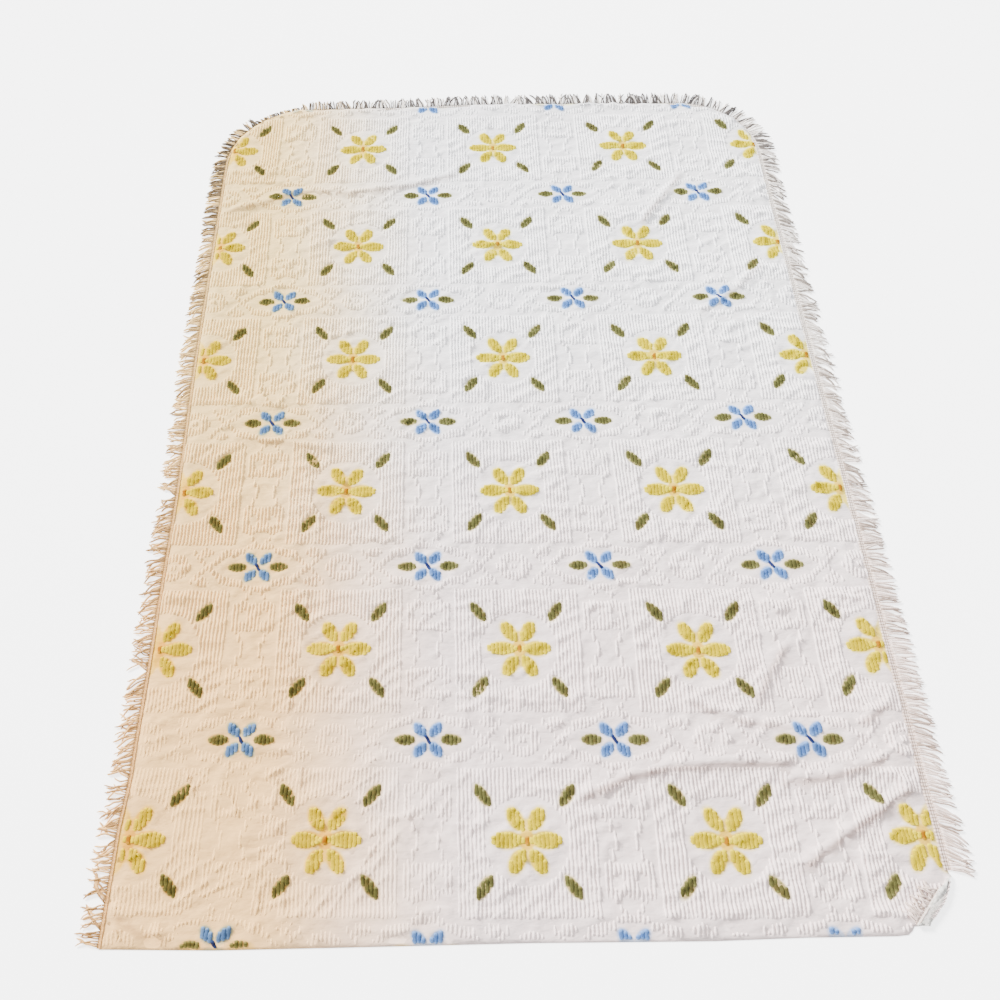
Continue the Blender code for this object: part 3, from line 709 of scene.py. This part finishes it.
def strand_paths(run, distance, *columns):
    """Paths of strands that leave a header and come down onto what is under them."""
    start, lengths, lean, wildness, lay_height = (column[:, None] for column in columns)
    base, out = run.track.at(distance)[:, None], run.track.outward(distance)[:, None]
    aside = np.stack((out[..., 1], -out[..., 0]), axis=-1)
    share = np.linspace(0, 1, STRAND_POINTS)
    bow = rng.normal(0, STRAND_BOW, start.shape) * wildness
    wave = rng.uniform(*STRAND_WAVE, start.shape)
    wave = wave * np.sin(share * rng.uniform(6, 13, start.shape) + rng.uniform(0, 6.28, start.shape))
    sideways = lengths * (lean * share + bow * share**2) + wave * (0.35 + 0.65 * wildness) * share**0.5
    outwards = start + lengths * (share - 0.35 * (lean * share)**2 - 0.35 * np.abs(bow) * share**2)
    drop = rise(share / STRAND_DROP)
    over = lay_height * np.sin(np.pi * np.clip((share - 0.1) / 0.9, 0, 1))**1.5
    height = run.start_height * (1 - drop) + (run.foot_height + 1.15 * STRAND_RADIUS) * drop + over
    return np.concatenate((base + out * outwards[..., None] + aside * sideways[..., None], height[..., None]), axis=2)


def clumped(count):
    """Which clump each strand of a row belongs to, and where in it."""
    clump, place = np.zeros(count, int), np.zeros(count)
    k = number = 0
    while k < count:
        size = min(int(rng.choice(CLUMP_SIZES)), count - k)
        clump[k:k + size] = number
        place[k:k + size] = np.arange(size) - (size - 1) / 2
        k += size
        number += 1
    return clump, place


def make_strands(name, run, material):
    """The strands of a run of fringe, in small clumps."""
    count = round(run.track.length / STRAND_PITCH)
    distance = (np.arange(count) + 1.5) * run.track.length / (count + 2) + rng.uniform(-0.0012, 0.0012, count)
    wildness = run.wildness(distance)
    start = run.width(distance) * 0.6
    lengths = run.reach(distance) + HEADER_WIDTH * 1.1 - start
    lengths = lengths * (1 + rng.uniform(-0.3, 0.14, count) * (0.4 + 0.6 * wildness))
    clump, place = clumped(count)
    clump_lean = rng.normal(0, CLUMP_LEAN, clump.max() + 1)[clump] * wildness
    gather = rng.uniform(0.2, 1.2, clump.max() + 1)[clump] * (0.5 + 0.5 * wildness)
    pull = -place * STRAND_PITCH * gather / lengths
    lean = run.lean(distance) + clump_lean + pull + rng.normal(0, STRAND_LEAN, count)
    lean = np.clip(lean, np.interp(distance, (0.02, 0.16), (0.12, -0.9)), 0.9)
    lay_height = np.abs(rng.normal(0, 0.0014, count)) + 0.0007 * (np.arange(count) % 3) + 0.3 * run.foot_height
    paths = strand_paths(run, distance, start, lengths, lean, wildness, lay_height)
    radii = STRAND_RADIUS * rng.uniform(0.75, 1.15, (count, 1)) * (1 - 0.12 * np.linspace(0, 1, STRAND_POINTS))
    radii[:, -1] *= STRAND_TIP
    # painted shade: some strands are dark, standing for the shadow between them
    is_shaded = rng.uniform(0, 1, count) < run.dark_share(distance)
    shade_tint = DARKEST_SHADE_STRAND(distance) + rng.uniform(0, 0.06, count)
    tint = np.where(is_shaded, shade_tint, rng.uniform(0.6, 1, count))
    return tube_mesh(name, paths, radii, material, {"tint": tint})


def make_header(name, run, material):
    """The band from which the strands hang: corded lines side by side, the first on the cloth's edge."""
    distance = np.arange(0.002, run.track.length - 0.002, HEADER_STEP)
    base, out = run.track.at(distance), run.track.outward(distance)
    count = len(distance)
    k = np.arange(count)
    middles, beads, halves, tints = [], [], [], []
    for share, half in HEADER_CORDS:
        outwards = share * run.width(distance) + 0.0003 * np.sin(distance * 300 + share * 400)
        level = np.full(count, run.header_height + (GROUND if share < 0 else 0.0))
        middles.append(np.column_stack((base + out * outwards[:, None], level)))
        beads.append(1 + 0.12 * np.where(k % 2 == 0, 1, -1) + rng.normal(0, 0.04, count))
        halves.append(half * run.width(distance) * beads[-1])
        # every third bead is dark, as painted shade
        tints.append(np.where(k % 3 == 0, SHADE_CORD_TINT(distance), rng.uniform(0.6, 1, count)))
    across = np.tile(np.column_stack((-out, np.zeros(count))), (3, 1))
    up = np.tile(np.array((0.0, 0.0, 1.0)), (len(across), 1))
    middle, half, bead, tint = (np.concatenate(parts) for parts in (middles, halves, beads, tints))
    return ridge_mesh(name, middle, across, up, half, HEADER_HEIGHT * bead, np.tile(k == 0, 3), ROPE_SECTION, material,
                      {"tint": tint})


# ---- materials ----

MIX_SHARE, MIX_FIRST, MIX_SECOND, MIX_RESULT = 0, 6, 7, 2  # the colour sockets of a mix node
CLOTH_SPECULAR, DYED_SPECULAR = 0.25, 0.02
SHEEN_ROUGHNESS = 0.6

# Where dye has run into the cloth: the colours of its rim and between the rows of pile, and its blobs in a
# quarter of a flower, with their turn in degrees.
Stain = namedtuple("Stain", "flower x y half_x half_y turn")
STAINS = [
    ((1.0, 0.95, 0.42), (0.68, 0.57, 0.14), table(Stain, (YELLOW, 0.0, 0.058, 0.04, 0.06, 0))),
    ((1.0, 0.93, 0.34), (0.62, 0.445, 0.04), table(Stain, (YELLOW, 0.0, 0.0, 0.056, 0.062, 0))),
    ((0.98, 0.93, 0.3), (0.56, 0.45, 0.002),
     table(Stain, (YELLOW, 0.094, 0.0, 0.104, 0.058, 0), (YELLOW, 0.054, 0.101, 0.084, 0.054, 61))),
    ((0.9, 0.87, 0.52), (0.3, 0.26, 0.09),
     table(Stain, (YELLOW, 0.219, 0.217, 0.084, 0.042, 55), (BLUE, 0.124, 0.0, 0.074, 0.04, 0))),
    ((0.5, 0.71, 0.99), (0.16, 0.33, 0.72), table(Stain, (BLUE, 0.042, 0.052, 0.064, 0.04, 50)))]
RIM_STRENGTH, INNER_STRENGTH = 0.88, 0.92
RIM_EDGES, INNER_EDGES = (1.0, 0.4), (0.66, 0.36)  # where they begin and are full, as shares of the blob
INNER_MARGIN = (0.006, 0.026)  # in metres from the cloth's edge
# painted shade, with some grime, at the foot of the folds on their side away from the light
FOLD_SHADE_TONE = (0.56, 0.5, 0.47)
# Painted light: a warm light cast that grows towards the cloth's left side and a little towards the head, and a pink
# light cast that grows towards the head hem.
WARM_LIGHT_CAST = (1.0, 0.71, 0.27)
WARM_CAST_SPREAD = (-0.36, -1.85, -0.1)  # at the middle, and how much it grows a metre along x and y
PINK_LIGHT_CAST = (1.0, 0.845, 0.8)
PINK_CAST_SPREAD = (0.36, -0.7)  # at the middle, and how much it grows a metre along y
DYED_CAST_SHARE = 0.4  # how much of this shows in dyed pile


class Look:
    """A material being made from nodes, by calls that take values or sockets."""

    def __init__(self, name, roughness, sheen, specular=CLOTH_SPECULAR):
        self.material = bpy.data.materials.new(name)
        self.material.use_nodes = True
        self.tree = self.material.node_tree
        self.shader = self.tree.nodes["Principled BSDF"]
        self.set_inputs(self.shader, {"Roughness": roughness, "Specular IOR Level": specular})
        self.set_inputs(self.shader, {"Sheen Weight": sheen, "Sheen Roughness": SHEEN_ROUGHNESS})
        self.place = self.node("TexCoord", {}, "Object")

    def set_inputs(self, node, inputs):
        """Sets a node's inputs, or links them."""
        for key, value in inputs.items():
            socket = node.inputs[key]
            if isinstance(value, bpy.types.NodeSocket):
                self.tree.links.new(value, socket)
            else:
                socket.default_value = (*value, 1) if socket.type == "RGBA" else value

    def node(self, kind, inputs, output, **settings):
        """One output of a new node."""
        made = self.tree.nodes.new("ShaderNode" + kind)
        for setting, value in settings.items():
            setattr(made, setting, value)
        self.set_inputs(made, inputs)
        return made.outputs[output]

    def attribute(self, name):
        """A value carried by the mesh."""
        return self.node("Attribute", {}, "Fac", attribute_name=name)

    def sum(self, operation, *values):
        """The result of a sum."""
        return self.node("Math", dict(enumerate(values)), "Value", operation=operation)

    def eased(self, value, low, high):
        """A smooth step from 0 to 1 between low and high."""
        inputs = {"Value": value, "From Min": low, "From Max": high}
        return self.node("MapRange", inputs, "Result", interpolation_type="SMOOTHSTEP")

    def noise(self, scale, detail=3.0, stretch=None):
        """A noise, whose grain may be stretched."""
        at = self.node("Mapping", {"Vector": self.place, "Scale": stretch}, "Vector") if stretch else self.place
        return self.node("TexNoise", {"Vector": at, "Scale": scale, "Detail": detail}, "Fac")

    def ramp(self, value, *stops):
        """Colours along a value: stops are (place, colour)."""
        made = self.tree.nodes.new("ShaderNodeValToRGB")
        elements = made.color_ramp.elements
        while len(elements) < len(stops):
            elements.new(0.5)
        for element, (position, colour) in zip(elements, stops):
            element.position = position
            element.color = (*colour, 1)
        self.set_inputs(made, {"Fac": value})
        return made.outputs["Color"]

    def mixed(self, share, first, second, mode="MIX"):
        """Two colours mixed by a share."""
        inputs = {MIX_SHARE: share, MIX_FIRST: first, MIX_SECOND: second}
        return self.node("Mix", inputs, MIX_RESULT, data_type="RGBA", blend_type=mode)

    def pile_colour(self, tones):
        """The colour of cut pile, which differs by tuft and along its fibres, and the fibres."""
        tuft = self.ramp(self.attribute("tint"), *((k / (len(tones) - 1), tone) for k, tone in enumerate(tones)))
        fibres = self.noise(520.0, 4.0)
        return self.mixed(0.35, tuft, self.ramp(fibres, (0.28, tones[0]), (0.72, tones[-1]))), fibres

    def with_painted_light_casts(self, colour, strength=1.0):
        """A colour with painted light: a warm light cast that grows towards one side, in patches, and a pink light
        cast towards the hem.
        """
        parts = self.tree.nodes.new("ShaderNodeSeparateXYZ")
        self.set_inputs(parts, {"Vector": self.place})
        x, y = parts.outputs["X"], parts.outputs["Y"]
        share = self.sum("MULTIPLY_ADD", y, WARM_CAST_SPREAD[2], self.sum("MULTIPLY_ADD", x, WARM_CAST_SPREAD[1], WARM_CAST_SPREAD[0]))
        patches = self.sum("MULTIPLY_ADD", self.noise(4.0), 0.3, -0.15)
        share = self.eased(self.sum("ADD", share, patches), -0.1, 1.0)
        colour = self.mixed(self.sum("MULTIPLY", share, strength), colour, WARM_LIGHT_CAST, "MULTIPLY")
        pink_cast_share = self.eased(self.sum("MULTIPLY_ADD", y, PINK_CAST_SPREAD[1], PINK_CAST_SPREAD[0]), 0.0, 1.0)
        return self.mixed(self.sum("MULTIPLY", pink_cast_share, strength), colour, PINK_LIGHT_CAST, "MULTIPLY")

    def stained(self, colour):
        """The cloth's colour with its dye stains, painted shade with some grime along the foot of its folds, and its
        painted warm and pink light casts.
        """
        near = {}
        for axis in ("x", "y"):
            value = self.attribute("pattern_" + axis)
            off = self.sum("ABSOLUTE", self.sum("SUBTRACT", value, self.sum("ROUND", value)))
            near[YELLOW, axis], near[BLUE, axis] = off, self.sum("SUBTRACT", 0.5, off)
        inner_strength = self.sum("MULTIPLY", self.eased(self.attribute("to_edge"), *INNER_MARGIN), INNER_STRENGTH)
        for rim, inner, stains in STAINS:
            strongest = deepest = 0.0
            for stain in stains:
                dx = self.sum("SUBTRACT", near[stain.flower, "x"], stain.x)
                dy = self.sum("SUBTRACT", near[stain.flower, "y"], stain.y)
                cosine, sine = math.cos(math.radians(stain.turn)), math.sin(math.radians(stain.turn))
                reach = 0.0
                for by_x, by_y, half in ((cosine, sine, stain.half_x), (-sine, cosine, stain.half_y)):
                    part = self.sum("MULTIPLY_ADD", dy, by_y / half, self.sum("MULTIPLY", dx, by_x / half))
                    reach = self.sum("MULTIPLY_ADD", part, part, reach)
                strongest = self.sum("MAXIMUM", strongest, self.eased(reach, *RIM_EDGES))
                deepest = self.sum("MAXIMUM", deepest, self.eased(reach, *INNER_EDGES))
            colour = self.mixed(self.sum("MULTIPLY", strongest, RIM_STRENGTH), colour, rim, "MULTIPLY")
            colour = self.mixed(self.sum("MULTIPLY", deepest, inner_strength), colour, inner)
        # the folds' painted shade with some grime, then the painted warm and pink light casts
        return self.with_painted_light_casts(self.mixed(self.attribute("grime"), colour, FOLD_SHADE_TONE, "MULTIPLY"))

    def finished(self, colour, *bumps):
        """The material with its colour and bumps: (height, strength, distance), one over the other."""
        inputs = {"Base Color": colour}
        for height, strength, distance in bumps:
            under = {"Normal": inputs["Normal"]} if "Normal" in inputs else {}
            layer = {"Strength": strength, "Distance": distance, "Height": height, **under}
            inputs["Normal"] = self.node("Bump", layer, "Normal")
        self.set_inputs(self.shader, inputs)
        return self.material


def ground_material():
    """Plain woven cotton with fine threads, and small puckers between the tufts."""
    look = Look("woven_ground", 0.92, 0.1)
    base = look.ramp(look.noise(3.0), (0.3, (0.7, 0.68, 0.688)), (0.7, (0.76, 0.745, 0.753)))
    fine = look.ramp(look.noise(60.0), (0.3, (0.62, 0.6, 0.606)), (0.7, (0.8, 0.785, 0.793)))
    # where the cloth is turned over, its colour is darker and greyer, with coarse noise
    turned_tone_and_pile_drop = look.ramp(look.noise(160.0, 4.0), (0.35, (0.42, 0.4, 0.36)), (0.65, (0.72, 0.69, 0.64)))
    colour = look.mixed(look.attribute("turned"), look.stained(look.mixed(0.25, base, fine)), turned_tone_and_pile_drop)
    puckers = look.noise(34.0, 4.0, stretch=(0.45, 1.0, 1.0))
    threads = look.noise(900.0, 1.0, stretch=(1.0, 0.35, 1.0))
    return look.finished(colour, (threads, 0.35, 0.0004), (puckers, 0.9, 0.007))


def white_pile_material():
    """White cut cotton pile."""
    look = Look("pile_white_cotton", 0.95, 0.12)
    colour, fibres = look.pile_colour(WHITE_PILE.tones)
    return look.finished(look.stained(colour), (fibres, 0.9, 0.0022))


def dyed_pile_material(name, pile):
    """Dyed cut cotton pile, paler where its dye is thin."""
    look = Look(name, 1.0, 0.0, DYED_SPECULAR)
    colour, fibres = look.pile_colour(pile.tones)
    # paler where dye is thin, with part of the painted warm and pink light casts
    colour = look.with_painted_light_casts(look.mixed(look.attribute("depth"), pile.pale, colour), DYED_CAST_SHARE)
    return look.finished(colour, (fibres, 0.9, 0.002))


def fringe_material():
    """Twisted cotton yarn."""
    look = Look("fringe_yarn", 0.9, 0.1)
    # its darkest stops are painted shade between the strands
    strand = look.ramp(look.attribute("tint"), (0.0, (0.035, 0.03, 0.03)), (0.35, (0.46, 0.39, 0.33)),
                       (1.0, (0.86, 0.82, 0.78)))
    # random grime on the yarn, with no painted shade
    grime = look.ramp(look.noise(90.0), (0.35, (0.45, 0.4, 0.35)), (0.65, (0.92, 0.89, 0.86)))
    # with the painted warm and pink light casts
    colour = look.with_painted_light_casts(look.mixed(0.3, strand, grime, "MULTIPLY"))
    return look.finished(colour, (look.noise(700.0, 2.0), 0.7, 0.0008))


# ---- stage, light and camera ----

FLOOR_HALF = 8.0
FLOOR_LEVEL = -0.0004
FLOOR_GLOW = 2.4
SUN_FROM = (-1.0, 0.75, 0.66)
FAR_LAMP_AT = (0.25, 1.5, 2.6)  # by the cloth's own sizes, as the camera's place is
CAMERA_AT = (-0.194, -1.3866, 2.128)
CAMERA_PITCH = math.radians(62.5)  # below the horizon
CAMERA_TURN = math.radians(2.59)  # to the left
CAMERA_ROLL = math.radians(-2.7)
CAMERA_LENS = 30.93
CAMERA_SHIFT = 0.0783


def make_floor():
    """A plain pale floor."""
    look = Look("floor_paint", 0.8, 0.0)
    tone = look.ramp(look.noise(2.0), (0.3, (0.9, 0.9, 0.9)), (0.7, (0.92, 0.92, 0.92)))
    look.set_inputs(look.shader, {"Emission Color": (1.0, 1.0, 1.0), "Emission Strength": FLOOR_GLOW})
    mesh = bpy.data.meshes.new("floor")
    corners = [(x * FLOOR_HALF, y * FLOOR_HALF, FLOOR_LEVEL) for x, y in ((-1, -1), (1, -1), (1, 1), (-1, 1))]
    mesh.from_pydata(corners, [], [(0, 1, 2, 3)])
    mesh.materials.append(look.finished(tone))
    floor = make_object("floor", mesh)
    return floor


def make_lamp(name, kind, energy, colour, **settings):
    """A lamp of any kind."""
    data = bpy.data.lights.new(name, kind)
    for setting, value in {"energy": energy, "color": colour, **settings}.items():
        setattr(data, setting, value)
    return make_object(name, data)


def make_light():
    """Even light from all round, soft light from one side, and a lamp over the bright foot."""
    world = bpy.data.worlds.new("surroundings")
    world.use_nodes = True
    background = world.node_tree.nodes["Background"]
    background.inputs["Color"].default_value = (0.95, 0.97, 1.0, 1)
    background.inputs["Strength"].default_value = 1.55
    bpy.context.scene.world = world
    sun = make_lamp("key", "SUN", 14.8, (1.0, 0.985, 0.965), angle=math.radians(16.0))
    sun.rotation_euler = (-Vector(SUN_FROM)).to_track_quat("-Z", "Y").to_euler()
    far = make_lamp("far", "AREA", 62.0, (0.95, 0.98, 1.0), shape="SQUARE", size=2.6)
    far.location = Vector(FAR_LAMP_AT) + SHIFT.to_3d()


def make_camera():
    """The camera, above the head hem."""
    data = bpy.data.cameras.new("camera")
    data.sensor_width = 36.0
    data.lens = CAMERA_LENS
    data.shift_x = CAMERA_SHIFT
    camera = make_object("camera", data)
    camera.matrix_world = Matrix.Translation(Vector(CAMERA_AT) + SHIFT.to_3d())
    for angle, axis in ((CAMERA_TURN, "Z"), (math.pi / 2 - CAMERA_PITCH, "X"), (CAMERA_ROLL, "Z")):
        camera.matrix_world = camera.matrix_world @ Matrix.Rotation(angle, 4, axis)
    bpy.context.scene.camera = camera


# ---- the whole thing ----

floor = make_floor()
make_light()
make_camera()

ground = make_ground(ground_material())
dashes = read_rows()
white = white_pile_material()
for name, (low, high) in WHITE_ZONES.items():
    zone = [d for d in dashes if d[0] == WHITE and low <= (d[2] + d[3]) / 2 < high]
    make_pile(name, zone, WHITE_PILE, LOW_SECTION, white)
for name, pile in DYED_PILES.items():
    chosen = [d for d in dashes if d[0] == pile.kind]
    dyed = dyed_pile_material("pile_" + name.split("_")[1], pile)
    make_pile(name, chosen, pile, ROUND_SECTION, dyed)

long_run = Run(
    Track(trim_line(0.004)),
    lambda distance: between(REACHES, distance, "length", ease=True) * REACH_SHARE(distance),
    along_trim((0.0, 0.0056), (2.4, 0.006), (4.3, HEADER_WIDTH), (4.9, 0.0105)),
    along_trim((0.0, 0.2), (0.1, -0.1), (1.1, -0.16), (1.7, -0.38), (2.3, -0.34), (2.7, -0.1), (4.3, 0.0),
               (4.8, 0.55), (5.8, 0.5), (6.2, 0.25), (6.5, 0.22), (6.9, 0.4)),
    along_trim((0.0, 1.0), (1.4, 0.9), (2.4, 0.6), (2.9, 0.6), (4.4, 0.6), (4.8, 0.8), (5.8, 0.7), (6.2, 0.35),
               (6.6, 0.35), (6.9, 0.6)),
    # the share of strands darkened as painted shade, along the trim
    along_trim((0.0, 0.25), (2.1, 0.3), (2.3, 0.6), (2.7, 0.68), (4.4, 0.68), (4.9, 0.45), (5.8, 0.4), (6.3, 0.25),
               (7.2, 0.25)),
    0.0024, 0.0, 0.0008)
flap_rows = np.array([(t.y, t.fold_x + t.turned) for t in CORNER if t.y < -1.26])
flap_run = Run(
    Track(laid(flap_rows[:, 1], flap_rows[:, 0])[:, :2]),
    # reach, header width, lean, wildness, and a share of strands darkened as painted shade
    *(along_trim((0.0, value)) for value in (0.028, 0.005, -0.35, 1.0, 0.35)),
    FLAP_LEVEL, THICKNESS + 0.0006, FLAP_LEVEL - 0.001)
yarn = fringe_material()
strands = make_strands("fringe_strands", long_run, yarn)
header = make_header("fringe_header", long_run, yarn)
flap_strands = make_strands("fringe_turned_strands", flap_run, yarn)
flap_header = make_header("fringe_turned_header", flap_run, yarn)

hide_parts("spread")
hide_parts("fringe_left", "fringe_foot_left", "fringe_foot", "fringe_foot_right", "fringe_right")
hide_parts("fringe_turned")
